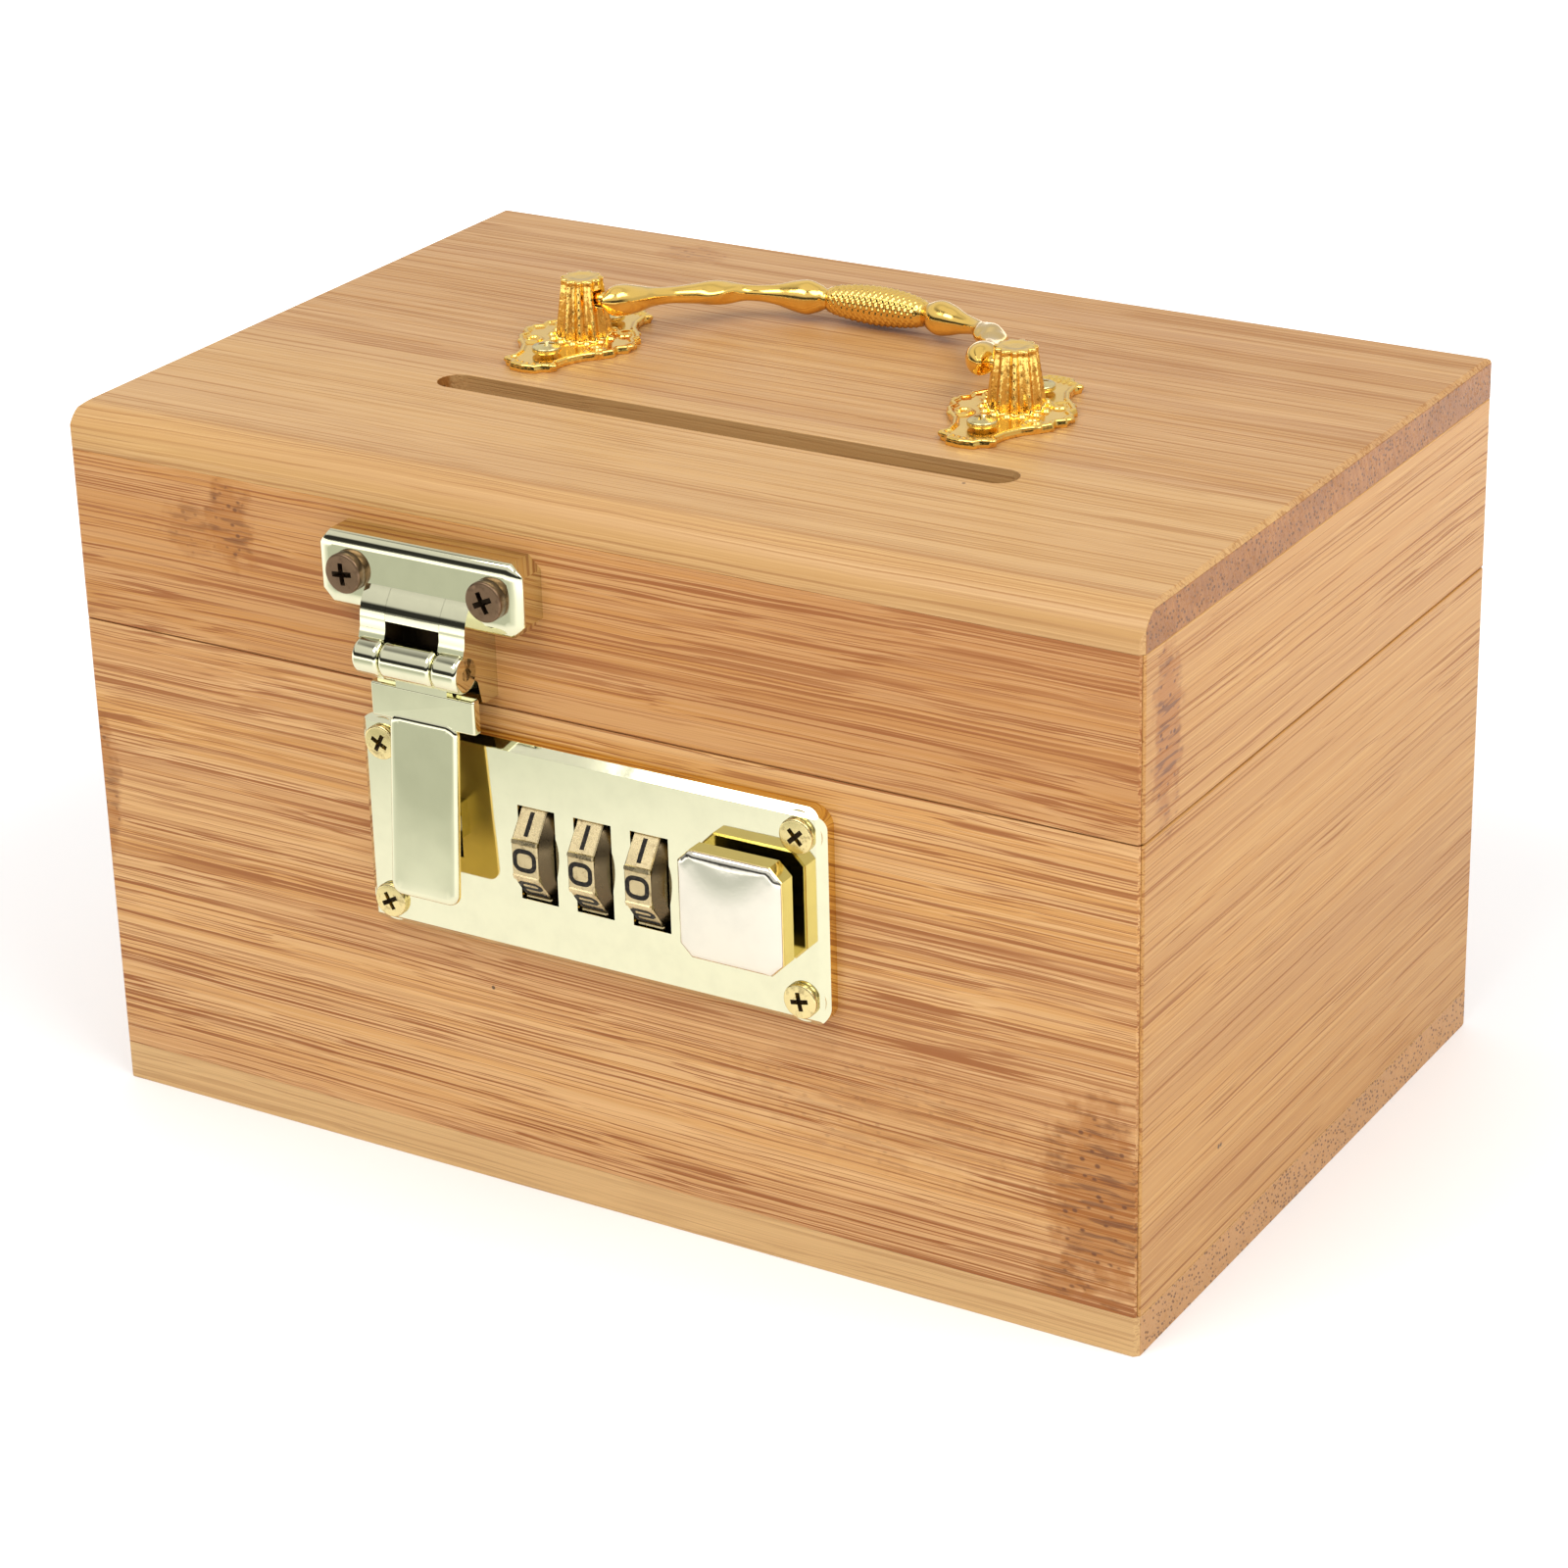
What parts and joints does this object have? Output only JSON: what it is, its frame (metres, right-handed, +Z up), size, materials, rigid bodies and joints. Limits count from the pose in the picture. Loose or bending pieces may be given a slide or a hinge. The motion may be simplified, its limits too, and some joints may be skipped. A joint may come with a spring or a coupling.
{
  "type": "donation box",
  "caption": "Small bamboo donation box with a hinged slotted lid, a carry handle and a hasp with a combination lock.",
  "frame": {"origin": "Centre of the underside of the box, on the surface that it stands on.", "axes": "+X to the right as the lock is faced (box width), +Y to the back where the lid hinges are, +Z up."},
  "size_m": [0.2, 0.1461, 0.1365],
  "materials": {
    "bamboo_front": "satin lacquered bamboo, fine reddish grain along X",
    "bamboo_side": "satin lacquered bamboo, fine pale grain along Y",
    "bamboo_top": "satin lacquered bamboo, edge-glued strips along X",
    "pale_gold": "mirror-polished pale gold plating",
    "rich_gold": "polished rich gold plating on a cast surface",
    "screw_gold": "gold-plated screws with dark recesses",
    "bronze": "dark bronze screws with worn coppery edges",
    "antique_brass": "muted antique brass with black figures",
    "champagne": "pale silvery champagne plating, faintly brushed",
    "steel": "zinc-plated steel"
  },
  "bodies": {
    "base": {"base_bottom_board": "bamboo_top", "base_front_wall": "bamboo_front", "base_back_wall": "bamboo_front", "base_left_wall": "bamboo_side", "base_right_wall": "bamboo_side", "lock_plate": "pale_gold", "lock_plate_screws": "screw_gold", "lock_case": "steel", "lock_case_screws": "steel", "dial_spindle": "steel", "detent_spring": "steel", "return_spring": "steel", "left_hinge_base_leaf": "rich_gold", "right_hinge_base_leaf": "rich_gold", "left_hinge_pin": "rich_gold", "right_hinge_pin": "rich_gold", "hinge_base_screws": "rich_gold"},
    "lid": {"lid_top_board": "bamboo_top", "lid_front_rail": "bamboo_front", "lid_back_rail": "bamboo_front", "lid_left_rail": "bamboo_side", "lid_right_rail": "bamboo_side", "left_handle_post": "rich_gold", "right_handle_post": "rich_gold", "handle_post_screws": "screw_gold", "hasp_hinge_plate": "pale_gold", "hasp_plate_screws": "bronze", "hasp_hinge_pin": "pale_gold", "left_hinge_lid_leaf": "rich_gold", "right_hinge_lid_leaf": "rich_gold", "hinge_lid_screws": "rich_gold"},
    "bail": {"bail_handle": "rich_gold"},
    "hasp": {"hasp_strap": "pale_gold"},
    "dial_1": {"number_dial_1": "antique_brass", "code_sleeve_1": "steel"},
    "dial_2": {"number_dial_2": "antique_brass", "code_sleeve_2": "steel"},
    "dial_3": {"number_dial_3": "antique_brass", "code_sleeve_3": "steel"},
    "slider": {"latch_slide": "steel", "slider_button": "champagne", "button_rivet": "steel"}
  },
  "joints": [
    {"name": "lid_hinge", "type": "hinge", "parent": "base", "child": "lid", "pos_m": [0, 0.0673, 0.08762], "axis": [-1, 0, 0], "range_deg": [0, 180]},
    {"name": "hasp_hinge", "type": "hinge", "parent": "lid", "child": "hasp", "pos_m": [-0.0251, -0.0733, 0.0963], "axis": [-1, 0, 0], "range_deg": [0, 170]},
    {"name": "bail_pivot", "type": "hinge", "parent": "lid", "child": "bail", "pos_m": [0, 0.004, 0.133], "axis": [1, 0, 0], "range_deg": [0, 196]},
    {"name": "dial_1_spin", "type": "hinge", "parent": "base", "child": "dial_1", "pos_m": [-0.0066, -0.0612, 0.0645], "axis": [1, 0, 0], "continuous": true},
    {"name": "dial_2_spin", "type": "hinge", "parent": "base", "child": "dial_2", "pos_m": [0.00415, -0.0612, 0.0645], "axis": [1, 0, 0], "continuous": true},
    {"name": "dial_3_spin", "type": "hinge", "parent": "base", "child": "dial_3", "pos_m": [0.0149, -0.0612, 0.0645], "axis": [1, 0, 0], "continuous": true},
    {"name": "slider_travel", "type": "slide", "parent": "base", "child": "slider", "axis": [1, 0, 0], "range_m": [0, 0.0025], "stiffness_N_per_m": 300, "springref_m": -0.003, "deforming": ["return_spring"]}
  ]
}
